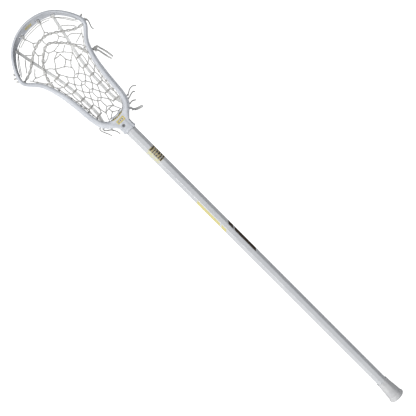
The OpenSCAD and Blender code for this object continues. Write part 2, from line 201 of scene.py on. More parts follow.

# %% [markdown]
# ## Finish: braided cord
# Stringing is braided nylon: fine yarns cross at an angle, the ridges are light and a little worn grey, and
# the valleys between them are painted darker as painted shade. Each cord carries its own UV map, with the
# length in metres along U and one turn round the cord along V, and two sets of slanting waves on it make the
# plait.


# %% Finish for cord
def cord_finish(name, light, valley_shade, yarn, turns, sheen):
    finish, tree, shader, spot = new_finish(name)
    length, turn, _ = xyz_of(tree, add(tree, "UVMap").outputs[0])
    along = calc(tree, "MULTIPLY", length, 2 * math.pi / yarn)
    around = calc(tree, "MULTIPLY", turn, 2 * math.pi * turns)
    one_way = calc(tree, "SINE", calc(tree, "ADD", along, around))
    other_way = calc(tree, "SINE", calc(tree, "SUBTRACT", along, around))
    plait = calc(tree, "MULTIPLY_ADD", calc(tree, "MAXIMUM", one_way, other_way), 0.5, 0.5)
    fuzz = speckle(tree, spot, 2600.0)
    soil = speckle(tree, spot, 55.0, 0.42, 0.75)
    # painted shade: the valleys of the plait are coloured darker than the ridges, and the worn grey laid over
    # it is real wear
    plait_with_painted_shade = mixed(tree, plait, valley_shade, light)
    worn = mixed(tree, calc(tree, "MULTIPLY", soil, 0.35), plait_with_painted_shade, (0.50, 0.49, 0.46, 1))
    rough = calc(tree, "MULTIPLY_ADD", fuzz, 0.2, 0.62)
    height = calc(tree, "ADD", plait, calc(tree, "MULTIPLY", fuzz, 0.4))
    join_up(tree, shader, worn, rough, height, 0.0003)
    shader.inputs["Sheen Weight"].default_value = sheen
    shader.inputs["Sheen Roughness"].default_value = 0.5
    return finish


# name, ridges, painted shade in the valleys, width of a yarn, yarns round the cord, sheen
lace_finish = cord_finish("lace_finish", (0.83, 0.82, 0.79, 1), (0.56, 0.55, 0.52, 1), 0.0016, 3, 0.25)
shooting_finish = cord_finish("shooting_finish", (0.86, 0.85, 0.82, 1), (0.62, 0.61, 0.58, 1), 0.0022, 4, 0.3)
# painted shade: the loose lace ends get a darker copy of the lace's colours, for the shade they hang in
# outside the rails
shaded_loose_finish = cord_finish("loose_lace_painted_shade", (0.66, 0.65, 0.62, 1), (0.44, 0.43, 0.41, 1), 0.0016, 3, 0.2)
thong_finish = cord_finish("thong_finish", (0.97, 0.97, 0.95, 1), (0.84, 0.83, 0.81, 1), 0.0020, 7, 0.3)
print("cord finishes:", lace_finish.name, shooting_finish.name, thong_finish.name)

# %% [markdown]
# ## How a cord is made
# A cord could be a curve with a round bevel, but then it would be a smooth wire. Here a mesh tube is swept
# along the route: a small section with two or three lobes is carried from point to point and turned as it
# goes, which gives real twisted strands. Its ends are drawn in like a melted cut end. A strap is the same
# sweep with a flat section and no turn.


# %% Routes and sections
COLLAR = 0.798   # where the head begins, along the stick


def head(x, y, z):
    """A place on the head, in millimetres from the collar, as a point of the stick in metres."""
    return Vector((x, y, z)) * 0.001 + Vector((COLLAR, 0, 0))


def between(a, b, c, d, t):
    """The point at t, from 0 to 1, on a smooth curve that goes through b and c on its way from a to d."""
    return 0.5 * (2 * b + (c - a) * t + (2 * a - 5 * b + 4 * c - d) * t**2 + (3 * b - a - 3 * c + d) * t**3)


def smooth(points, steps):
    last = len(points) - 1
    path = [
        between(points[max(i - 1, 0)], points[i], points[i + 1], points[min(i + 2, last)], k / steps)
        for i in range(last)
        for k in range(steps)
    ]
    return path + [points[last]]


def length_of(path):
    return sum((b - a).length for a, b in zip(path, path[1:]))


def spaced(path, step):
    """The same path with points one step apart, or nearly."""
    total = length_of(path)
    count = max(2, round(total / step))
    made, gone, i = [path[0]], 0.0, 0
    for k in range(1, count):
        want = total * k / count
        while gone + (path[i + 1] - path[i]).length < want:
            gone += (path[i + 1] - path[i]).length
            i += 1
        part = (want - gone) / max((path[i + 1] - path[i]).length, 1e-9)
        made.append(path[i].lerp(path[i + 1], part))
    return made + [path[-1]]


def lobed(diameter, lobes, groove, corners):
    """A round section with grooves between its lobes, like strands laid side by side."""
    ring = []
    for k in range(corners):
        a = 2 * math.pi * k / corners
        r = diameter / 2 * (1 - groove * (0.5 - 0.5 * math.cos(lobes * a)))
        ring.append((r * math.cos(a), r * math.sin(a)))
    return ring


def strap(width, thickness):
    w, t = width / 2, thickness / 2
    half = [(w, 0), (w * 0.94, t * 0.65), (w * 0.72, t), (w * 0.3, t * 0.86), (0, t), (-w * 0.3, t * 0.86)]
    half += [(-w * 0.72, t), (-w * 0.94, t * 0.65)]
    return half + [(-x, -y) for x, y in half]


LACE, NET, THONG_W, THONG_T = 0.0022, 0.0025, 0.006, 0.002
LACE_SECTION = lobed(LACE, 2, 0.3, 8)
print("lace", LACE, "net cord", NET, "corners of a strap", len(strap(THONG_W, THONG_T)))


# %% Hand a piece over to the frame
def hand_over(piece, finish, slot, body, *nodes):
    """Give a piece its finish, the body that it moves with and the frame's solids that it replaces."""
    piece.data.materials.append(finish)
    piece.select_set(False)
    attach(piece, body)
    if nodes:
        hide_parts(*nodes)
    print(piece.name, "has", len(piece.data.polygons), "faces")


# %% Sweep a section along a route
class Cords:
    """Tubes that are collected as rings and made one mesh at the end."""

    def __init__(self):
        self.points, self.faces, self.uvs = [], [], []

    def sweep(self, path, section, pitch=0, up=None, closed=False, pinch=None, start=0.0):
        """Carry a section along a path: pitch twists it, up holds the way it faces, pinch narrows it."""
        count, n = len(path), len(section)
        first, side, gone, lengths = len(self.points), None, 0.0, []
        for i, p in enumerate(path):
            if i:
                gone += (p - path[i - 1]).length
            lengths.append(gone)
            ahead = path[(i + 1) % count] if closed else path[min(i + 1, count - 1)]
            behind = path[i - 1] if closed or i else path[0]
            t = (ahead - behind).normalized()
            if up is not None:
                hint = up[i] if isinstance(up, list) else up
                side = t.cross(hint).normalized()
            elif side is None:
                side = t.cross(Vector((0.1, 0.2, 1))).normalized()
            else:
                side = (side - t * side.dot(t)).normalized()
            over = side.cross(t)
            a = 2 * math.pi * gone / pitch + start if pitch else start
            s, o = side * math.cos(a) + over * math.sin(a), over * math.cos(a) - side * math.sin(a)
            k = pinch[i] if pinch else 1.0
            self.points += [p + s * x * k + o * y * k for x, y in section]
        if closed:
            lengths.append(gone + (path[0] - path[-1]).length)
        for i in range(count if closed else count - 1):
            here, there = first + i * n, first + (i + 1) % count * n
            u0, u1 = lengths[i], lengths[i + 1]
            for j in range(n):
                k = (j + 1) % n
                self.faces.append((here + j, here + k, there + k, there + j))
                v0, v1 = j / n, (j + 1) / n
                self.uvs += [(u0, v0), (u0, v1), (u1, v1), (u1, v0)]
        if not closed:
            last = first + (count - 1) * n
            self.faces += [tuple(reversed(range(first, first + n))), tuple(range(last, last + n))]
            self.uvs += [(0.0, 0.5)] * (2 * n)

    def piece(self, name, finish, slot, *nodes):
        mesh = bpy.data.meshes.new(name)
        mesh.from_pydata(self.points, [], self.faces)
        layer = mesh.uv_layers.new(name="along_and_round")
        layer.data.foreach_set("uv", [c for uv in self.uvs for c in uv])
        made = bpy.data.objects.new(name, mesh)
        bpy.context.collection.objects.link(made)
        turn_outward(made)
        bpy.context.view_layer.objects.active = made
        made.select_set(True)
        bpy.ops.object.shade_smooth()
        hand_over(made, finish, slot, "stick", *nodes)
        return made


def turn_outward(piece):
    shell = bmesh.new()
    shell.from_mesh(piece.data)
    bmesh.ops.recalc_face_normals(shell, faces=shell.faces)
    shell.to_mesh(piece.data)
    shell.free()


def drawn_in(count):
    """Section sizes along a cord whose cut ends are melted to a blunt point."""
    sizes = [1.0] * count
    for k, size in enumerate((0.35, 0.8)):
        sizes[k] = sizes[count - 1 - k] = size
    return sizes


LACE_PITCH, SHOOTING_PITCH = 0.0065, 0.011   # length of one twist


def lay_lace(cords, points, diameter=LACE, pitch=LACE_PITCH):
    path = spaced(smooth(points, 6), 0.0009)
    section = lobed(diameter, 2, 0.34, 8)
    cords.sweep(path, section, pitch, pinch=drawn_in(len(path)), start=random.random() * 6)


print("a twist is", LACE_PITCH, "and", SHOOTING_PITCH, "long")

# %% [markdown]
# ## Loose cord ends
# Where the strings are tied off outside the rails their ends are left long: three on each side of the
# throat and a strap end beside them, one at the right of the scoop and a pair of shooting string ends. They
# leave the rail outwards, droop under their own weight and touch the floor. Nylon of this thickness is
# limp, and the ends are bare, cut and melted.

# %% Loose cord ends
LACE_ENDS = {   # millimetres on the head, as head() takes them
    "throat_tail_right_1": [
        (52, -45.5, -11), (54, -50, -14), (56.5, -55, -19), (57.5, -60, -25), (57, -65, -31),
        (54.5, -69, -35), (51.5, -71.5, -36.2)],
    "throat_tail_right_2": [
        (46.5, -42, -8), (47, -46, -11), (48, -50, -17), (48.3, -54, -24), (48, -57.5, -31), (47, -60, -35),
        (44.5, -61.5, -36)],
    "throat_tail_right_3": [
        (37.5, -36.5, -8), (37.3, -39.5, -11), (37, -42.5, -17), (36.2, -45, -24), (35, -47, -30),
        (33.5, -49, -34.5), (31.5, -51.5, -35.8)],
    "throat_tail_left_1": [
        (44, 41.5, -10), (40.5, 43, -13), (36, 42.5, -19), (31.5, 40.8, -26), (26, 38.5, -32),
        (20, 36.2, -35.2), (14.5, 34.5, -35.8)],
    "throat_tail_left_2": [
        (38.5, 37.3, -8), (36, 38.2, -12), (32.5, 36.5, -19), (29, 33, -26), (26.5, 29.5, -31.5),
        (23.5, 27, -34.6), (19, 25, -35.6)],
    "throat_tail_left_3": [
        (27, 25, -7), (24.5, 25.4, -11), (21.5, 24.4, -17.5), (18, 22.8, -24.5), (14, 21.2, -31),
        (9.5, 20.4, -34.6), (5, 20, -35.4)],
    "scoop_tail": [
        (213, -92.4, -5), (210.5, -93.2, -9), (206.5, -92.6, -16), (202, -91.2, -23.5), (198, -90.2, -30.5),
        (194.5, -90, -36.5), (190.5, -91, -39.4)],
}
SHOOTING_ENDS = {
    "shooting_tail_1": [
        (157, -66, -17), (153, -67.5, -20), (147, -69, -26), (140.5, -70.5, -32), (134, -72, -36),
        (128.5, -73.5, -37.2), (124, -75, -37.4)],
    "shooting_tail_2": [
        (159, -71.5, -17), (155, -73, -20.5), (149, -75, -26.5), (142.5, -77, -32), (136, -78.3, -36),
        (130, -79.2, -37.2), (125, -79.8, -37.4)],
}
STRAP_END = [
    (31.5, -30.5, -9), (28.5, -31.5, -12), (25, -32.3, -18), (21.8, -34.5, -25), (19, -38.5, -31),
    (16.8, -43.5, -34.3), (15.2, -48.5, -35.2), (14.2, -53, -35.4)]
STRAP_FACES = Vector((0.5, 0.3, 1))   # the way that the flat of the strap's end faces


def loose_end(node, route, finish, slot, section, pitch=0, up=None):
    cords = Cords()
    points = [head(*p) for p in route]
    path = spaced(smooth(points, 6), 0.0007)
    cords.sweep(path, section, pitch, up=up, pinch=drawn_in(len(path)))
    piece = cords.piece("loose_" + node, finish, slot, node)
    print("  length", round(length_of(path) * 1000, 1), "mm")


SHOOTING, STRAP_W, PUFFED = 0.0036, 0.0056, 1.06   # a slack cord puffs up a little
section = lobed(LACE * PUFFED, 2, 0.16, 12)
# the lace ends are drawn in the darker copy of the lace finish, which is painted shade
for node, route in LACE_ENDS.items():
    loose_end(node, route, shaded_loose_finish, "lace_cord", section, LACE_PITCH)
section = lobed(SHOOTING * PUFFED, 3, 0.16, 12)
for node, route in SHOOTING_ENDS.items():
    loose_end(node, route, shooting_finish, "shooting_cord", section, SHOOTING_PITCH)
section = strap(STRAP_W, THONG_T)
loose_end("thong_tail", STRAP_END, thong_finish, "thong_webbing", section, up=STRAP_FACES)

# %% [markdown]
# ## Finish: moulded nylon
# The head is injection moulded nylon, cool white and satin. Moulded plastic is never quite even: it has a
# faint cloudiness, a fine grain from the tool and a few dull scuffs. A gilt mark is printed inside the scoop
# and a gilt frame on the throat; both are plain bars here.

# %% Finish for the head
GILT, GILT_DARK = (0.76, 0.60, 0.09, 1), (0.16, 0.11, 0.04, 1)


def head_finish():
    finish, tree, shader, spot = new_finish("head_finish")
    x, y, z = xyz_of(tree, spot)
    cloudy = speckle(tree, spot, 38.0)
    grain = speckle(tree, spot, 1500.0, 0.3, 0.7)
    scuff = speckle(tree, spot, 210.0, 0.60, 0.72, 6.0)
    colour = mixed(tree, cloudy, (0.70, 0.72, 0.76, 1), (0.78, 0.80, 0.84, 1))
    colour = mixed(tree, calc(tree, "MULTIPLY", scuff, 0.35), colour, (0.52, 0.54, 0.58, 1))
    # scoop mark: leaning bars in a strip on the inner face
    lean = calc(tree, "ADD", calc(tree, "MULTIPLY", y, 1900.0), calc(tree, "MULTIPLY", z, 900.0))
    bars = calc(tree, "GREATER_THAN", calc(tree, "SINE", lean), -0.35)
    from_collar = calc(tree, "SUBTRACT", x, COLLAR)
    strip = in_box(tree, (from_collar, 0.275, 0.2845), (y, -0.0085, 0.0075), (z, 0.0185, 0.0262))
    colour = mixed(tree, calc(tree, "MULTIPLY", strip, bars), colour, GILT)
    # throat mark: a frame with short bars in it
    on_top = calc(tree, "GREATER_THAN", z, 0.009)
    outer = all_of(tree, on_top, in_box(tree, (from_collar, 0.0242, 0.0322), (y, -0.0086, 0.0096)))
    inner = in_box(tree, (from_collar, 0.0263, 0.0301), (y, -0.0067, 0.0077))
    teeth = calc(tree, "GREATER_THAN", calc(tree, "SINE", calc(tree, "MULTIPLY", y, 1350.0)), -0.1)
    marks = all_of(tree, outer, inner, teeth, inside(tree, from_collar, 0.0270, 0.0294))
    ring = calc(tree, "SUBTRACT", outer, calc(tree, "MULTIPLY", outer, inner))
    colour = mixed(tree, ring, colour, GILT)
    colour = mixed(tree, marks, colour, (0.20, 0.13, 0.05, 1))
    # a line of gilt and dark dashes along the throat's inner edge, an arc about a centre inside the pocket
    back = calc(tree, "SUBTRACT", from_collar, 0.073)
    reach = calc(tree, "SQRT", calc(tree, "MULTIPLY_ADD", back, back, calc(tree, "MULTIPLY", y, y)))
    behind = calc(tree, "LESS_THAN", back, 0.0)
    arc = all_of(tree, on_top, behind, in_box(tree, (reach, 0.0352, 0.0370), (y, -0.0145, 0.0145)))
    dashes = calc(tree, "GREATER_THAN", calc(tree, "SINE", calc(tree, "MULTIPLY", y, 1500.0)), 0.3)
    colour = mixed(tree, arc, colour, mixed(tree, dashes, GILT, GILT_DARK))
    dull = calc(tree, "MULTIPLY", scuff, 0.2)
    rough = calc(tree, "ADD", calc(tree, "MULTIPLY_ADD", cloudy, 0.10, 0.34), dull)
    join_up(tree, shader, colour, rough, grain, 0.00006)
    shader.inputs["Subsurface Weight"].default_value = 0.06
    shader.inputs["Subsurface Radius"].default_value = (0.004, 0.004, 0.004)
    shader.inputs["Subsurface Scale"].default_value = 0.5
    return finish


head_plastic = head_finish()
print("finish", head_plastic.name)

# %% [markdown]
# ## The head
# A head is one moulding: a wide upper rail, a deep dished lower rail, struts between them, the scoop's band
# and the throat that grips the shaft. It could be built again from curves, but the frame's solid already
# has its shape and its holes, so a copy is merged into one skin, remeshed in small even cubes and relaxed,
# which gives every edge the soft radius of a moulding. The collar's end is then drawn into a low wave, and
# the outer part of the upper rail's top is rounded over to an ellipse, along the same outline as the solid's.


# %% Shape the head
def copy_of(node, name):
    made = bpy.data.objects.new(name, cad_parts[node].data.copy())
    bpy.context.collection.objects.link(made)
    made.data.materials.clear()
    bpy.ops.object.select_all(action="DESELECT")
    bpy.context.view_layer.objects.active = made
    made.select_set(True)
    bpy.ops.object.mode_set(mode="EDIT")
    bpy.ops.mesh.select_all(action="SELECT")
    bpy.ops.mesh.remove_doubles(threshold=0.000002)
    bpy.ops.object.mode_set(mode="OBJECT")
    return made


def apply_modifier(piece, kind, **settings):
    step = piece.modifiers.new(kind.lower(), kind)
    for key, value in settings.items():
        setattr(step, key, value)
    bpy.context.view_layer.objects.active = piece
    bpy.ops.object.modifier_apply(modifier=step.name)


moulding = copy_of("head_frame", "moulded_head")
apply_modifier(moulding, "REMESH", mode="VOXEL", voxel_size=0.00118)
apply_modifier(moulding, "SMOOTH", factor=0.5, iterations=3)
WAVE_REACH, WAVE_HEIGHT = 0.010, 0.0013
for vertex in moulding.data.vertices:
    near = 1 - (vertex.co.x - COLLAR) / WAVE_REACH
    if near > 0:
        around = math.atan2(vertex.co.z, vertex.co.y)
        vertex.co.x += WAVE_HEIGHT * min(near, 1) * (0.5 + 0.5 * math.cos(4 * around))

# %% Round the upper rail
STATIONS = [  # x, y of the left half's outer edge, top z, low z, upper rail's width, lower rail's inset
    (15, 10, 12, -13, 9, 0), (19, 15, 13, -14, 10, 0), (27, 22.5, 13, -15, 11, 0), (35, 32, 12.5, -17, 12, 0),
    (47, 40.3, 11, -20.5, 12, 1), (67, 45, 7.5, -27, 11.5, 1), (89, 47, 4.5, -33.5, 11.5, 1),
    (111, 49, 3, -38, 11.5, 1), (142, 53.3, 2, -41, 10.5, 1), (172, 61.5, 4, -41.5, 9, 0.5),
    (186, 68.8, 7, -40, 8.5, 0), (202, 83, 10, -36, 7.5, 0.5), (209, 87.3, 12, -33, 7.2, 0.8),
    (217, 89, 14.5, -29, 7, 1), (226, 87.6, 17, -23.5, 6.6, 1.6), (238, 82.4, 20.5, -16, 6, 2.4),
    (253, 73.4, 25.5, -5.5, 5.4, 3.6), (267, 62, 30, 3.5, 4.8, 5.3), (278, 48.5, 33.2, 8.3, 4.6, 7.2),
    (286, 32, 35, 10.8, 4.5, 9.2), (290.5, 15, 35.8, 11.8, 4.5, 10.6), (292, 0, 36, 12, 4.5, 11),
]
EDGE_STEPS = 12     # points of the edge from one station to the next
ROUND_ACROSS, ROUND_DOWN = 0.68, 0.58   # the ellipse's share of the rail's width and height
edge = smooth([Vector((x, y, top, width)) for x, y, top, _, width, _ in STATIONS], EDGE_STEPS)
edge += [Vector((x, -y, top, width)) for x, y, top, width in reversed(edge[:-1])]
near_edge = kdtree.KDTree(len(edge))
for i, place in enumerate(edge):
    near_edge.insert((place.x, place.y, 0), i)
near_edge.balance()
for vertex in moulding.data.vertices:
    x, y, z = (vertex.co - Vector((COLLAR, 0, 0))) * 1000
    i = near_edge.find((x, y, 0))[1]
    if i in (0, len(edge) - 1):
        continue
    run = (edge[i + 1].xy - edge[i - 1].xy).normalized()
    out = Vector((-run.y, run.x))
    top, width = edge[i].z, edge[i].w
    fade = min(1, min(i, len(edge) - 1 - i) / (3 * EDGE_STEPS))
    across, down = ROUND_ACROSS * width * fade, ROUND_DOWN * (3.2 + 0.4 * width) * fade
    u = 1 - max(0, (edge[i].xy - Vector((x, y))).dot(out)) / across
    v = 1 - max(0, top - z) / down
    if 0 < u <= 1 and 0 < v <= 1:
        shrink = max(u, v) / math.hypot(u, v)
        inward = across * (u - u * shrink)
        vertex.co.x -= out.x * inward / 1000
        vertex.co.y -= out.y * inward / 1000
        vertex.co.z -= down * (v - v * shrink) / 1000
bpy.ops.object.shade_smooth()
hand_over(moulding, head_plastic, "head_plastic", "stick", "head_frame")

# %% [markdown]
# ## Ball stop
# A crescent of foam is glued inside the throat, where the ball comes to rest. The frame's solid is right but
# has the sharp edges of a cut block, so a copy gets rounded edges and a finish with open pores.


# %% Ball stop
def foam_finish():
    finish, tree, shader, spot = new_finish("foam_finish")
    pores = add(tree, "TexVoronoi", {"Vector": spot, "Scale": 1400.0}).outputs["Distance"]
    cloudy = speckle(tree, spot, 120.0)
    colour = mixed(tree, cloudy, (0.62, 0.63, 0.65, 1), (0.74, 0.75, 0.77, 1))
    rough = calc(tree, "MULTIPLY_ADD", cloudy, 0.12, 0.74)
    join_up(tree, shader, colour, rough, pores, 0.0002)
    return finish


foam = copy_of("ball_stop", "foam_ball_stop")
apply_modifier(foam, "BEVEL", width=0.0005, segments=3, limit_method="ANGLE", angle_limit=math.radians(40))
bpy.ops.object.shade_smooth_by_angle(angle=math.radians(35))
hand_over(foam, foam_finish(), "pad_foam", "stick", "ball_stop")

# %% [markdown]
# ## Shaft
# The shaft is a drawn alloy tube with eight flats, lacquered in pearl white under a clear coat. The frame's
# tube is exactly right, so it stays and only gets its finish. The print is a band of gilt and dark cross
# lines below the head, and two broken stripes half way down, gilt on the left edge and dark on the right.


# %% Finish for the shaft
BAND, RUNG_STEP = (0.7118, 0.7458), 0.0057   # where the printed band is along the shaft, and its cross lines


def shaft_finish():
    finish, tree, shader, spot = new_finish("shaft_finish")
    x, y, z = xyz_of(tree, spot)
    pearl = speckle(tree, spot, 4200.0, 0.3, 0.7, 1.0)
    cloudy = speckle(tree, spot, 16.0)
    drawn = add(tree, "Mapping", {"Vector": spot, "Scale": (14.0, 900.0, 900.0)}).outputs[0]
    scratch = speckle(tree, drawn, 1.0, 0.60, 0.74, 4.0)
    colour = mixed(tree, cloudy, (0.70, 0.71, 0.73, 1), (0.77, 0.78, 0.79, 1))
    colour = mixed(tree, calc(tree, "MULTIPLY", pearl, 0.18), colour, (0.95, 0.96, 1.0, 1))
    colour = mixed(tree, calc(tree, "MULTIPLY", scratch, 0.22), colour, (0.55, 0.56, 0.58, 1))
    front = calc(tree, "GREATER_THAN", z, 0.0)
    # a patch of grey dapples along the middle of the front
    patch = in_box(tree, (x, 0.450, 0.595), (y, -0.0042, 0.0042))
    dapple = all_of(tree, front, patch, speckle(tree, spot, 520.0, 0.48, 0.56, 2.0))
    colour = mixed(tree, calc(tree, "MULTIPLY", dapple, 0.35), colour, (0.52, 0.54, 0.57, 1))
    # the band below the head
    band = all_of(tree, front, inside(tree, x, *BAND))
    pale = all_of(tree, band, inside(tree, y, 0.0030, 0.0106), speckle(tree, spot, 260.0, 0.42, 0.52, 1.0))
    colour = mixed(tree, calc(tree, "MULTIPLY", pale, 0.85), colour, (0.84, 0.80, 0.42, 1))
    uneven = calc(tree, "MULTIPLY_ADD", speckle(tree, spot, 200.0, 0.40, 0.60, 1.0), 1.5, -0.75)
    rungs = calc(tree, "ADD", calc(tree, "SINE", calc(tree, "MULTIPLY", x, 2 * math.pi / RUNG_STEP)), uneven)
    printed = all_of(tree, band, inside(tree, y, -0.0112, 0.0024))
    dark_rung = calc(tree, "MULTIPLY", printed, calc(tree, "GREATER_THAN", rungs, 0.05))
    gilt_rung = calc(tree, "MULTIPLY", printed, calc(tree, "LESS_THAN", rungs, -0.25))
    colour = mixed(tree, dark_rung, colour, (0.070, 0.050, 0.022, 1))
    colour = mixed(tree, calc(tree, "MULTIPLY", gilt_rung, 0.85), colour, (0.56, 0.44, 0.14, 1))
    # broken stripes half way down
    slant = calc(tree, "ADD", x, y)
    left_runs = calc(tree, "ADD", inside(tree, slant, 0.5430, 0.6090), inside(tree, slant, 0.5245, 0.5385))
    left_edge = all_of(tree, front, left_runs, inside(tree, y, 0.0058, 0.0108))
    colour = mixed(tree, left_edge, colour, (0.84, 0.75, 0.31, 1))
    right_runs = calc(tree, "ADD", inside(tree, slant, 0.5035, 0.5185), inside(tree, slant, 0.4370, 0.5005))
    right_edge = all_of(tree, front, right_runs, inside(tree, y, -0.0110, -0.0052))
    colour = mixed(tree, right_edge, colour, (0.045, 0.022, 0.007, 1))
    dull = calc(tree, "MULTIPLY", scratch, 0.2)
    rough = calc(tree, "ADD", calc(tree, "MULTIPLY_ADD", cloudy, 0.06, 0.27), dull)
    join_up(tree, shader, colour, rough, calc(tree, "ADD", pearl, scratch), 0.00001)
    shader.inputs["Coat Weight"].default_value = 0.5
    shader.inputs["Coat Roughness"].default_value = 0.3
    return finish


def refinish(node, finish):
    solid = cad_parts[node]
    solid.data.materials.clear()
    solid.data.materials.append(finish)
    print(node, "keeps its shape,", len(solid.data.polygons), "faces")


refinish("shaft_tube", shaft_finish())

# %% [markdown]
# ## Throat screw
# One small blackened screw with a crossed recess holds the head on the shaft. At this size its solid is
# already complete, and what it lacks is wear: bright metal shows where the driver has been.


# %% Finish for the screw
def screw_finish():
    finish, tree, shader, spot = new_finish("screw_finish")
    worn = speckle(tree, spot, 700.0, 0.50, 0.62)
    colour = mixed(tree, worn, (0.24, 0.24, 0.25, 1), (0.48, 0.48, 0.49, 1))
    rough = calc(tree, "MULTIPLY_ADD", worn, -0.2, 0.52)
    join_up(tree, shader, colour, rough, speckle(tree, spot, 2400.0), 0.00004)
    shader.inputs["Metallic"].default_value = 0.6
    return finish


refinish("head_screw", screw_finish())

# %% [markdown]
# ## End cap
# A rubber cap is pushed over the butt. It starts eight sided like the shaft, turns round as it flares and
# ends in a rolled lip. A lathe profile could not change from eight flats to a circle, so the cap is extruded
# ring by ring from its flat end to its mouth and back down its bore, and the rings near the shaft are then
# pressed to eight flats.

# %% End cap
CAP_RINGS = [  # millimetres along the shaft, radius
    (0.25, 14.5), (1.0, 15.9), (2.2, 17.0), (3.8, 17.5), (5.2, 17.25), (6.4, 16.6), (7.8, 16.05), (9.6, 15.7),
    (10.4, 15.2), (11.4, 15.2), (12.2, 15.5), (16, 15.15), (20, 14.85), (24, 14.55), (28, 14.1), (32, 13.65),
    (36, 13.25), (39, 13.0), (42, 12.85), (46, 12.8), (48.4, 12.75), (49.5, 12.5), (50, 12.1), (50, 11.45),
    (49, 11.3), (19.8, 11.3),
]
BUTT_R, BORE_R = 13.4, 11.46    # radius of the flat end, and just more than the bore's
bpy.ops.mesh.primitive_circle_add(
    vertices=96, radius=BUTT_R / 1000, fill_type="NGON", rotation=(0, math.pi / 2, 0))
cap = bpy.context.object
cap.name = "rubber_end_cap"
bpy.ops.object.transform_apply(location=True, rotation=True, scale=True)
bpy.ops.object.mode_set(mode="EDIT")
bpy.ops.mesh.select_all(action="SELECT")
at_x, at_r = 0.0, BUTT_R
for ring_x, ring_r in CAP_RINGS:
    bpy.ops.mesh.extrude_region_move(TRANSFORM_OT_translate={"value": ((ring_x - at_x) / 1000, 0, 0)})
    bpy.ops.transform.resize(value=(1, ring_r / at_r, ring_r / at_r), center_override=(ring_x / 1000, 0, 0))
    at_x, at_r = ring_x, ring_r
bpy.ops.mesh.select_all(action="SELECT")
bpy.ops.mesh.normals_make_consistent(inside=False)
bpy.ops.object.mode_set(mode="OBJECT")
ROUND_TO, FLAT_FROM, SOFT_CORNER = 0.020, 0.040, 1.052
for vertex in cap.data.vertices:
    radius, a = math.hypot(vertex.co.y, vertex.co.z), math.atan2(vertex.co.z, vertex.co.y)
    off_flat = (a + math.pi / 8) % (math.pi / 4) - math.pi / 8
    eight = min(1 / math.cos(off_flat), SOFT_CORNER)
    amount = max(0.0, min(1.0, (vertex.co.x - ROUND_TO) / (FLAT_FROM - ROUND_TO)))
    if radius < BORE_R / 1000:
        amount = 1.0
    grow = 1 + (eight - 1) * amount
    vertex.co.y *= grow
    vertex.co.z *= grow
bpy.ops.object.shade_smooth_by_angle(angle=math.radians(38))


def rubber_finish():
    finish, tree, shader, spot = new_finish("rubber_finish")
    x = xyz_of(tree, spot)[0]
    cloudy = speckle(tree, spot, 60.0)
    grain = speckle(tree, spot, 1800.0)
    dirt = calc(tree, "MULTIPLY", speckle(tree, spot, 170.0, 0.50, 0.70, 6.0), 0.5)
    low = add(tree, "MapRange", {"Value": x, "From Min": 0.012, "From Max": 0.0}).outputs["Result"]
    grime = calc(tree, "MULTIPLY", dirt, calc(tree, "MULTIPLY_ADD", low, 0.7, 0.3))
    colour = mixed(tree, cloudy, (0.68, 0.68, 0.69, 1), (0.76, 0.76, 0.76, 1))
    colour = mixed(tree, grime, colour, (0.34, 0.33, 0.31, 1))
    rough = calc(tree, "MULTIPLY_ADD", cloudy, 0.1, 0.58)
    join_up(tree, shader, colour, rough, grain, 0.00008)
    return finish


hand_over(cap, rubber_finish(), "cap_rubber", "butt_cap", "end_cap")

# %% [markdown]
# ## The pocket's shape
# All strings lie on one dished surface that hangs from the lower rails. Its middle line is kept here as a
# short table, from the throat to the scoop in millimetres, and one function gives the pocket's height
# anywhere. Every string below is drawn flat, as x and y, and dropped on that surface.

# %% The pocket's surface
RAILS = STATIONS[4:]   # the stations with a lower rail of its own
MIDDLE = [(36, -12), (48, -21), (60, -28), (75, -33.5), (92, -37), (115, -38.6), (150, -38.8), (172, -38.8),
          (195, -37), (210, -32.5), (226, -23.5), (240, -15), (255, -5), (268, 5.5), (274.5, 12)]


def lower_rail(s):
    """Middle of the lower rail at rail s, the way out of the head there, and the rail's width and height."""
    i = min(int(s), len(RAILS) - 2)
    part = s - i
    x, y, _, low, upper_width, inset = [a + (b - a) * part for a, b in zip(RAILS[i], RAILS[i + 1])]
    before, after = RAILS[max(i - (part < 0.5), 0)], RAILS[min(i + 1 + (part > 0.5), len(RAILS) - 1)]
    run = Vector((after[0] - before[0], after[1] - before[1], 0)).normalized()
    out = Vector((-run.y, run.x, 0)) if s < len(RAILS) - 1 else Vector((1, 0, 0))
    width, height = 2.6 + 0.45 * upper_width, 3 + 0.35 * upper_width
    centre = Vector((x, y, low + height / 2)) - out * (upper_width / 2 + inset)
    return centre, out, width, height


TIED_EDGE = []
for s in range(len(RAILS)):
    centre, out, width, height = lower_rail(s)
    TIED_EDGE.append(tuple(centre - out * width / 2))


def along(table, x, column):
    """A column of a table whose first column grows, read between its rows at x."""
    for a, b in zip(table, table[1:]):
        if x <= b[0] or b is table[-1]:
            part = max(0.0, min(1.0, (x - a[0]) / max(b[0] - a[0], 0.01)))
            return a[column] + (b[column] - a[column]) * part


def pocket_z(x, y):
    middle, edge = along(MIDDLE, x, 1), along(TIED_EDGE, x, 2)
    across = min(1.0, abs(y) / max(along(TIED_EDGE, x, 1), 1))
    return middle + (edge - middle) * across * across


def on_pocket(x, y, lift=0.0):
    return head(x, y, pocket_z(x, y) + lift)


print("pocket's deepest point", round(min(z for _, z in MIDDLE), 1), "mm")

# %% [markdown]
# ## Thongs
# Two woven straps run from the scoop to the throat and carry the pocket. They are narrower where the lacing
# is drawn tight round them, so the strap's section is pinched at every wrap. At the scoop each one goes
# through its slot, round the lower edge and back under itself.

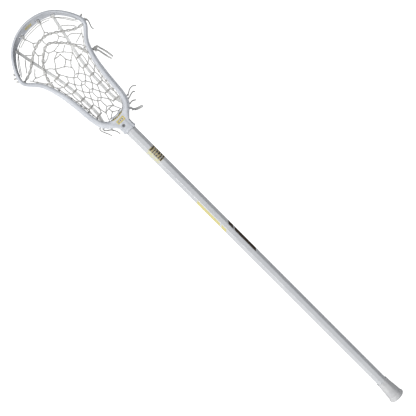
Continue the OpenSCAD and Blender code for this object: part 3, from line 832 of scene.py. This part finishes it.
# %% Thongs
THONG_ROUTE = [(263, 49), (250, 46.3), (232, 43), (213, 39.3), (190, 34), (163, 29), (141, 26), (120, 24.4),
               (98, 23.4), (80, 23.1), (64, 23.8), (53, 26.6), (46.5, 28)]
WRAP_ROWS = [173.5, 151, 130, 107.5, 85, 63]
SLOT_OUTER, SLOT_INNER = 13.37, 15.38   # rails where the scoop's slots are


def side_of(route, x):
    """How far out a cord that runs down from the scoop is at x."""
    for (x1, y1), (x0, y0) in zip(route, route[1:]):
        if x >= x0:
            return y0 + (y1 - y0) * (x - x0) / (x1 - x0)
    return route[-1][1]


def rim_loop(s, side, grow, shift, top):
    """A closed loop round the scoop's lower edge, through the slot above it, and the loop's middle."""
    centre, out, width, height = lower_rail(s)
    run = Vector((out.y, -out.x, 0))
    points = []
    for k in range(24):
        a = 2 * math.pi * k / 24
        c, d = math.cos(a), math.sin(a)
        rise = d * (top if d > 0 else height / 2 + grow)
        reach = math.copysign(abs(c) ** 0.7, c) * (width / 2 + grow)
        spot = centre + out * reach + Vector((0, 0, rise)) + run * shift
        points.append(head(spot.x, spot.y * side, spot.z))
    return points, head(centre.x, centre.y * side, centre.z)


for side, hand in ((1, "left"), (-1, "right")):
    cords = Cords()
    path = spaced(smooth([on_pocket(x, y * side) for x, y in THONG_ROUTE], 6), 0.0013)
    pinch = []
    for p in path:
        gap = min(abs((p.x - COLLAR) * 1000 - row) for row in WRAP_ROWS)
        pinch.append(0.86 + 0.14 * min(gap / 4.0, 1.0) + 0.02 * noise.noise(p * 260))
    cords.sweep(path, strap(THONG_W, THONG_T), up=Vector((0.05, 0, 1)), pinch=pinch)
    loop, centre = rim_loop(SLOT_OUTER, side, 1.2, 0.0, 5.6)
    away = [(p - centre).normalized() for p in loop]
    cords.sweep(loop, strap(THONG_W, THONG_T * 0.9), up=away, closed=True)
    cords.piece(hand + "_woven_thong", thong_finish, "thong_webbing", hand + "_thong")

# %% [markdown]
# ## The net
# Cross lacing is one long cord that is looped back and forth. It crosses each thong in a double wrap and
# makes diamonds between the two thongs, knotted at every crossing. The lower rows are regular and are
# drawn once for the left and mirrored; the top of the pocket is drawn link by link.

# %% Net: the regular rows
EYES = [(150.1, 6.5), (129.6, 6.2), (108.3, 5.1), (84.7, 5.0)]        # small diamonds on the middle line
SHOULDERS = [(139.8, 14.7), (118.2, 12.8), (95.3, 11.2), (71.9, 13.5)]  # crossings between them
EYE_HALF, LAST_EYE_X = 3.6, 64.3    # half of an eye's length, and where the last open one ends
THROAT_NODE = (56.9, 10.4)
KNOT_GAP, INNER_TIE, OUTER_TIE = 6.6, 7.2, 6.8   # from a thong's middle to its knots and to where links start
WRAP_TURNS = [  # along the thong, across it and up from it
    (-0.2, 7.0, 0.2), (-0.9, 4.6, 0.9), (-1.1, 0, 1.95), (-0.9, -3.6, 0.9), (-0.3, -3.9, -0.6), (0, 0, -1.9),
    (0.3, 3.9, -0.6), (0.8, 3.6, 0.9), (1.0, 0, 1.95), (0.9, -4.6, 0.9), (0.2, -7.4, 0.2)]
net, net_knots = Cords(), Cords()
crossings = []


def link(*points, cords=net, side=1, diameter=NET, lift=0.0):
    """A cord through flat points, laid on one side of the pocket, its ends hidden in the knots."""
    lay_lace(cords, [on_pocket(x, y * side, lift) for x, y in points], diameter)


def thong_y(x):
    return side_of(THONG_ROUTE, x)


def wrapped(x, side):
    """The lacing crosses a thong: over, under and over again, a cord's width apart."""
    y = thong_y(x)
    lay_lace(net, [on_pocket(x + dx, (y + dy) * side, lift) for dx, dy, lift in WRAP_TURNS], NET)
    crossings.extend((x, (y + dy) * side) for dy in (KNOT_GAP, -KNOT_GAP))


for side in (1, -1):
    for row in WRAP_ROWS:
        wrapped(row, side)
    for i, (ex, ey) in enumerate(EYES):
        link((ex + EYE_HALF, 0), (ex + EYE_HALF * 0.6, ey * 0.45), (ex, ey), side=side)
        link((ex - EYE_HALF, 0), (ex - EYE_HALF * 0.6, ey * 0.45), (ex, ey), side=side)
        sx, sy = SHOULDERS[i]
        link((ex, ey), (ex - (ex - sx) * 0.5, (ey + sy) * 0.505), (sx, sy), side=side)
        if i + 1 < len(EYES):
            nx, ny = EYES[i + 1]
            link((nx, ny), (nx + (sx - nx) * 0.5, (ny + sy) * 0.53), (sx, sy), side=side)
        for row in WRAP_ROWS[i + 1:i + 3]:
            tied_y = thong_y(row) - INNER_TIE
            link((row + 0.2, tied_y), ((row + sx) / 2, (tied_y + sy) / 2 + 0.3), (sx, sy), side=side)
        crossings += [(ex, ey * side), (sx, sy * side)]
    link(SHOULDERS[3], (64, 12.4), THROAT_NODE, side=side)
    link((LAST_EYE_X, 0), (61, 5.5), THROAT_NODE, side=side)
    crossings.append((THROAT_NODE[0], THROAT_NODE[1] * side))
for i, (ex, _) in enumerate(EYES):
    below = EYES[i + 1][0] + EYE_HALF if i + 1 < len(EYES) else LAST_EYE_X
    link((ex - EYE_HALF, 0), ((ex + below) / 2, 0.5), (below, 0))
print("crossings in the regular rows:", len(crossings))

# %% [markdown]
# ## Net: the top of the pocket
# Above the regular rows the crossings wander, as they do on a pocket that has been pulled and shaped. Each
# crossing has a letter, and the links name the letters they join.

# %% Net: the top rows
TOP_CROSSINGS = {
    "A": (219.5, 7.2), "B": (215.1, -4.2), "C": (203.1, 7.9), "D": (201.6, -7.4), "E": (188, 20.1),
    "F": (188, -27.5), "G": (178.9, 3.3), "H": (178.9, -14.2), "I": (175.9, 22.8), "J": (162.3, 15),
    "K": (168.3, -5.4), "L": (162.3, -20.5), "M": (201.6, -15), "N": (187.5, -8.7), "O": (208.5, -6),
}
TOP_LINKS = "AB BO OC OM CD CE DN NH NG EG EI IJ GK HK FH FL MF".split()
# links that run out to the thongs, the arches and the sidewalls, by letters and by points of their own
EDGE_LINKS = [
    [(227, 9), "A"], ["A", (213.5, 17), (211, 28)], ["B", (216.6, -16.4), (218.5, -22)],
    ["M", (205, -21), (208.5, -28)], ["E", (196, 27), (201, 35.5)], ["E", (181, 24), "I"],
    ["F", (196, -34), (199, -38)], ["J", (156, 11), (150.1, 6.5)], ["L", (156, -14), (150.1, -6.5)],
    ["K", (161, -5), (153.8, 0)], ["J", (156, 17.5), (151, 20.2)], ["L", (156, -19.5), (151, -20.2)],
    ["I", (174.5, 23.4), (173.6, 24)], ["F", (176, -25.5), (173.6, -24)],
    [(246.2, -1.6), (239, -1.2), (231.4, -2.5)], [(238.6, 24.7), (230, 25.2), (224, 15.6)],
    [(230, 25), (222, 32), (216.5, 38.8)], [(234, -29.8), (228.4, -30.6), (223, -19)],
    [(228.4, -30.6), (218, -38.4)], [(216, -41), (215, -52), (201.6, -66.6)],
    [(217, 48), (203.1, 59.9), (195.6, 43.1)], [(203.1, 59.9), (202.5, 69.5)],
    [(195.5, -43), (187, -50.4), (180.4, -53.5)], [(201.6, -66.6), (196, -45.5)],
    [(248.9, 44), (243.5, 38.5), (238.7, 32.3)], [(244.6, -46), (240.8, -42.3), (237.3, -38.8)],
    [(243.1, 48.4), (231, 58.5), (221, 66.3)], [(240.2, -47.3), (230, -60), (218, -69.7)],
    [(173.8, 41), (175.5, 47), (180, 52.5)], [(173.8, -41), (175.5, -47), (180, -52.5)],
]
EDGE_KNOTS = [(230, 25), (228.4, -30.6), (203.1, 59.9), (201.6, -66.6)]
for start, end in TOP_LINKS:
    (x0, y0), (x1, y1) = TOP_CROSSINGS[start], TOP_CROSSINGS[end]
    bow = random.uniform(-0.7, 0.7)
    link((x0, y0), ((x0 + x1) / 2 + bow, (y0 + y1) / 2 + bow), (x1, y1))
for route in EDGE_LINKS:
    link(*[TOP_CROSSINGS.get(p, p) for p in route], lift=0.2)
crossings += [*TOP_CROSSINGS.values(), *EDGE_KNOTS]
print("crossings in all:", len(crossings))

# %% [markdown]
# ## Net: the sides
# Between each thong and its sidewall the lacing zigzags: a knot on the sidewall string, a link in to the
# wrap below it, and a link from wrap to wrap.

# %% Net: the sides
SIDE_KNOTS = [(138.5, 41), (113.5, 36.4), (93, 34), (71, 31.9)]


def beside_wrap(row):
    return row, thong_y(row) + OUTER_TIE


for side in (1, -1):
    for (x0, y0), (x1, y1) in zip(map(beside_wrap, WRAP_ROWS[1:]), map(beside_wrap, WRAP_ROWS[2:])):
        link((x0, y0), ((x0 + x1) / 2, (y0 + y1) / 2 + 1.4), (x1, y1), side=side)
    for (kx, ky), (x, y) in zip(SIDE_KNOTS, map(beside_wrap, WRAP_ROWS[2:])):
        link((kx, ky), ((kx + x) / 2 + 1, (y + ky) / 2), (x, y), side=side)
    link((162, 46), (156, 41), beside_wrap(WRAP_ROWS[1]), side=side)
    x, y = beside_wrap(WRAP_ROWS[0])
    link((x + 0.1, y), (163, 37.5), beside_wrap(WRAP_ROWS[1]), side=side)
net.piece("cross_laced_net", lace_finish, "lace_cord", "cross_lacing")


# %% Knots at the crossings
KNOT_SPAN = 8.2         # how wide the knot's curve is before it is scaled, in millimetres
KNOT_CORD = 0.0016875   # and how thick a big knot's cord is


def knot_points(size, count):
    """An overhand knot pulled tight: a loop with three lobes."""
    for k in range(count):
        a = 2 * math.pi * k / count
        x, y, z = math.sin(a) + 2 * math.sin(2 * a), math.cos(a) - 2 * math.cos(2 * a), -1.2 * math.sin(3 * a)
        yield Vector((x, y, z)) * (size / KNOT_SPAN)


def tie_knot(cords, where, size, diameter, turn, count=18, corners=5):
    path = [where + turn @ p * 0.001 for p in knot_points(size, count)]
    cords.sweep(path, lobed(diameter, 1, 0.0, corners), closed=True)


for x, y in crossings:
    spin = Matrix.Rotation(random.uniform(0, 6.28), 3, "Z")
    tilt = Matrix.Rotation(random.uniform(-0.4, 0.4), 3, "X")
    tie_knot(net_knots, on_pocket(x, y, 0.2), random.uniform(3.6, 4.3), 0.0013, spin @ tilt)
for side in (1, -1):
    for x, y in SIDE_KNOTS:
        spin = Matrix.Rotation(random.uniform(0, 6.28), 3, "Z")
        tie_knot(net_knots, on_pocket(x, y * side, 0.2), 4.2, 0.0014, spin)
net_knots.piece("net_knots", lace_finish, "lace_cord")

# %% [markdown]
# ## Shooting strings
# Two thicker cords cross the top of the pocket in arches and make the ball leave it evenly. Each is a pair of
# strands twisted loosely round each other. A hand never lays them quite true, so the pair sways a little.

# %% Shooting strings
OUTER_ARCH = [(212, 84), (213, 77), (215, 68), (220, 57.5), (231, 42.5), (241.5, 26), (246.5, 12), (247.5, 0)]
INNER_ARCH = [(160, 54), (166, 49.5), (176, 47), (187, 44), (199, 39), (213, 28.5), (224.5, 16.5), (231, 6.5),
              (232, 0)]
STRAND, PAIR_TWIST = 0.0033, 0.026     # a strand's diameter, and the length of one turn of the pair


def both_halves(route):
    return route + [(x, -y) for x, y in reversed(route[:-1])]


def shooting_string(name, node, route):
    cords = Cords()
    path = spaced(smooth([on_pocket(x, y, 1.5) for x, y in both_halves(route)], 8), 0.0011)
    turns = length_of(path) / PAIR_TWIST
    for strand in (0, 1):
        laid = []
        for i, p in enumerate(path):
            ahead, behind = path[min(i + 1, len(path) - 1)], path[max(i - 1, 0)]
            sideways = (ahead - behind).cross(Vector((0, 0, 1))).normalized()
            a = 2 * math.pi * turns * i / len(path) + strand * math.pi
            sway = noise.noise(p * 45) * 0.0012
            laid.append(p + sideways * (0.0018 * math.cos(a) + sway) + Vector((0, 0, 0.0012 * math.sin(a))))
        cords.sweep(laid, lobed(STRAND, 3, 0.22, 9), 0.008, pinch=drawn_in(len(laid)))
    cords.piece(name, shooting_finish, "shooting_cord", node)


shooting_string("outer_shooting_cord", "outer_shooting_string", OUTER_ARCH)
shooting_string("inner_shooting_cord", "inner_shooting_string", INNER_ARCH)

# %% [markdown]
# ## Top string
# A cord runs along the scoop from slot to slot, double between the two middle slots, and is stretched
# from the outer slots to the sidewalls. Two ties come down from it to the outer shooting string.

# %% Top string
TOP_ROUTE = [(230, 75.5), (245, 65), (258, 52), (267, 39), (272.3, 24), (273.9, 10), (274.2, 0)]
SECOND_ROUTE = [(263.5, 39.5), (268.2, 24), (270.2, 10), (270.5, 0)]
FORK = (253, 15.5)     # where a tie splits in two
THIN = 0.0019          # a lace that is drawn tight
RIM_TIES = [(SLOT_INNER, 1.1, -1.3, 5.6), (SLOT_INNER, 1.1, 1.3, 5.6), (SLOT_OUTER, 1.3, 4.0, 4.6)]
top = Cords()
lay_lace(top, [on_pocket(x, y) for x, y in both_halves(TOP_ROUTE)])
lay_lace(top, [on_pocket(x, y, 0.4) for x, y in both_halves(SECOND_ROUTE)])
for side in (1, -1):
    link((230, 75.5), (227, 79.5), (224, 84), cords=top, side=side)
    link((259, 50), (246, 61), (231.5, 71.5), (222, 79), cords=top, side=side, diameter=THIN)
    link((270, 22), (261, 18), FORK, cords=top, side=side)
    link(FORK, (249, 19.5), (245.6, 19), cords=top, side=side, lift=0.6)
    link(FORK, (250.5, 11), (247.4, 9), cords=top, side=side, lift=0.6)
    for rail, grow, shift, rise in RIM_TIES:
        loop, _ = rim_loop(rail, side, grow, shift, rise)
        top.sweep(loop, LACE_SECTION, LACE_PITCH, closed=True)
    tie_knot(top, on_pocket(FORK[0], FORK[1] * side, 0.3), 4.4, 0.0014, Matrix.Identity(3))
    tie_knot(top, on_pocket(261.5, 48.5 * side, 1.2), 6.5, 0.0020, Matrix.Rotation(0.5, 3, "Z"), 24, 6)
    tie_knot(top, on_pocket(272, 22.5 * side, 1.2), 5.6, 0.0018, Matrix.Rotation(1.5, 3, "Z"), 24, 6)
top.piece("top_lacing", lace_finish, "lace_cord", "top_string")

# %% [markdown]
# ## Sidewall strings
# A cord runs down each sidewall from the scoop to the throat. At every hole it goes out through the lower
# rail, over its top and back in, and is knotted to itself, which hangs the net from the rail.

# %% Sidewall strings
SIDEWALL_ROUTE = [(208, 73), (197, 65.5), (183, 55.5), (168, 48), (150, 42.8), (132, 39.6), (112, 36.2),
                  (92, 34), (73, 32.2), (60, 29.8), (52, 26.8)]
HOLES = [0.6, 1.6, 2.5, 3.4, 4.3, 5.2, 6.2]   # rails where the stringing holes are
ROUND_RAIL = [  # out of the hole, over the rail and in again, in shares of the rail's width and height
    (0.3, 0), (0.62, 0.1), (0.60, 0.45), (0.2, 0.70), (-0.25, 0.70), (-0.6, 0.40), (-0.72, -0.05)]

for side, hand in ((1, "left"), (-1, "right")):
    cords = Cords()
    lay_lace(cords, [on_pocket(x, y * side) for x, y in SIDEWALL_ROUTE])
    for s in HOLES:
        centre, out, width, height = lower_rail(s)
        tie_x = centre.x - out.x * 6
        tie_y = side_of(SIDEWALL_ROUTE, tie_x)
        tie = Vector((tie_x, tie_y, pocket_z(tie_x, tie_y)))
        turn_points = [centre + out * width * a + Vector((0, 0, height * b)) for a, b in ROUND_RAIL]
        for gap in (-1.2, 1.2):
            run = Vector((out.y, -out.x, 0)) * gap
            points = [p + run for p in turn_points] + [tie]
            lay_lace(cords, [head(p.x, p.y * side, p.z) for p in points], THIN)
        spin = Matrix.Rotation(s, 3, "Z")
        tie_knot(cords, head(tie.x, tie.y * side, tie.z + 0.3), 4.6, 0.0015, spin, 20, 6)
    cords.piece(hand + "_sidewall_lacing", lace_finish, "lace_cord", hand + "_sidewall_string")

# %% [markdown]
# ## Throat lacing
# At the bottom the net is gathered to the throat: a cord across the two last crossings, a long cord from
# each to the throat's corner, and a forked tie in the middle.

# %% Throat lacing
THROAT_ROUTE = [(40.5, 17.3), (46, 15), (52, 12.2), THROAT_NODE]
throat = Cords()
for side in (1, -1):
    link(*THROAT_ROUTE, cords=throat, side=side, diameter=LACE)
    link((49, 0), (45.5, 6.5), (40.3, 13.5), cords=throat, side=side, lift=0.4)
link(THROAT_NODE, (58.3, 4), (58.3, -4), (THROAT_NODE[0], -THROAT_NODE[1]), cords=throat, lift=0.5)
link((58.2, 0.6), (53.5, 0.2), (49, 0), cords=throat, lift=0.9)
tie_knot(throat, on_pocket(49.4, 0, 0.6), 4.6, 0.0015, Matrix.Identity(3))
throat.piece("throat_ties", lace_finish, "lace_cord", "throat_lacing")

# %% [markdown]
# ## Knots outside the rails
# The strings are tied off on the outside: a knot at each end of the scoop, a big one where the shooting
# strings end on the right, and a small stop knot at the root of every loose end.


# %% Knots outside the rails
def on_side(heading):
    """Tips a knot up on its edge and turns it by its heading, in degrees."""
    return Matrix.Rotation(math.radians(heading), 3, "Z") @ Matrix.Rotation(math.radians(90), 3, "X")


def big_knot(name, node, where, size, heading, finish, slot):
    cords = Cords()
    path = [head(*where) + on_side(heading) @ p * 0.001 for p in knot_points(size, 60)]
    cords.sweep(path, lobed(KNOT_CORD * size / KNOT_SPAN, 3, 0.25, 12), 0.007, closed=True)
    cords.piece(name, finish, slot, node)


big_knot("left_scoop_tie", "left_scoop_knot", (229, 88.6, -3), 9.6, 65, lace_finish, "lace_cord")
big_knot("right_scoop_tie", "right_scoop_knot", (216, -90.4, -2), 9, 0, lace_finish, "lace_cord")
big_knot("shooting_cord_tie", "sidewall_knot", (160.5, -62.5, -15), 12, 20, shooting_finish, "shooting_cord")
ROOTS = {  # where each loose end comes out of the rail, in the order of its way out
    "throat_tail_right_1": [(50, -30, -18), (50.5, -36, -15.5), (51.2, -41, -12.5)],
    "throat_tail_right_2": [(45.5, -30, -11), (46, -36, -8.5)],
    "throat_tail_right_3": [(38, -26, -9), (37.8, -31, -7.6)],
    "throat_tail_left_1": [(46, 30, -12), (45.2, 36, -10)],
    "throat_tail_left_2": [(39.5, 27, -9), (39, 32, -7.6)],
    "throat_tail_left_3": [(28.5, 17, -8), (27.8, 21, -7)],
    "scoop_tail": [(214.5, -82, -7), (214, -87.5, -5.5)],
}
STOPS = [((226.5, -89.8, -1.5), 8.5), ((236, 85.4, 1), 6.5), ((222, 90.2, -6), 6.5)]   # place and size
stops = Cords()
for node, route in LACE_ENDS.items():
    lay_lace(stops, [head(*p) for p in ROOTS[node] + [route[0]]], 0.0021)
    tie_knot(stops, head(*route[0]), 5.0, 0.0017, on_side(random.uniform(0, 180)), 22, 6)
for where, size in STOPS:
    tie_knot(stops, head(*where), size, THIN, on_side(random.uniform(0, 180)), 30, 7)
stops.piece("stop_knots", lace_finish, "lace_cord")

# %% Roots of the shooting strings and of the strap
SHOOTING_ROOTS = [
    [(162, -55, -21), (162.5, -60, -17), (160, -65, -15), (157, -66, -17)],
    [(163, -55, -19), (165, -62, -13), (164, -69, -12.5), (161, -72, -15), (159, -71.5, -17)],
]
shooting_roots, strap_root = Cords(), Cords()
for points in SHOOTING_ROOTS:
    lay_lace(shooting_roots, [head(*p) for p in points], 0.0034, SHOOTING_PITCH)
tie_knot(shooting_roots, head(161.5, -67, -14.5), 9.5, 0.0026, on_side(110), 40, 8)
shooting_roots.piece("shooting_cord_roots", shooting_finish, "shooting_cord")
strap_path = spaced(smooth([head(36, -22, -6.5), head(34, -26, -7), head(*STRAP_END[0])], 6), 0.0008)
strap_root.sweep(strap_path, strap(0.0054, THONG_T), up=STRAP_FACES)
strap_root.piece("thong_end_root", thong_finish, "thong_webbing")
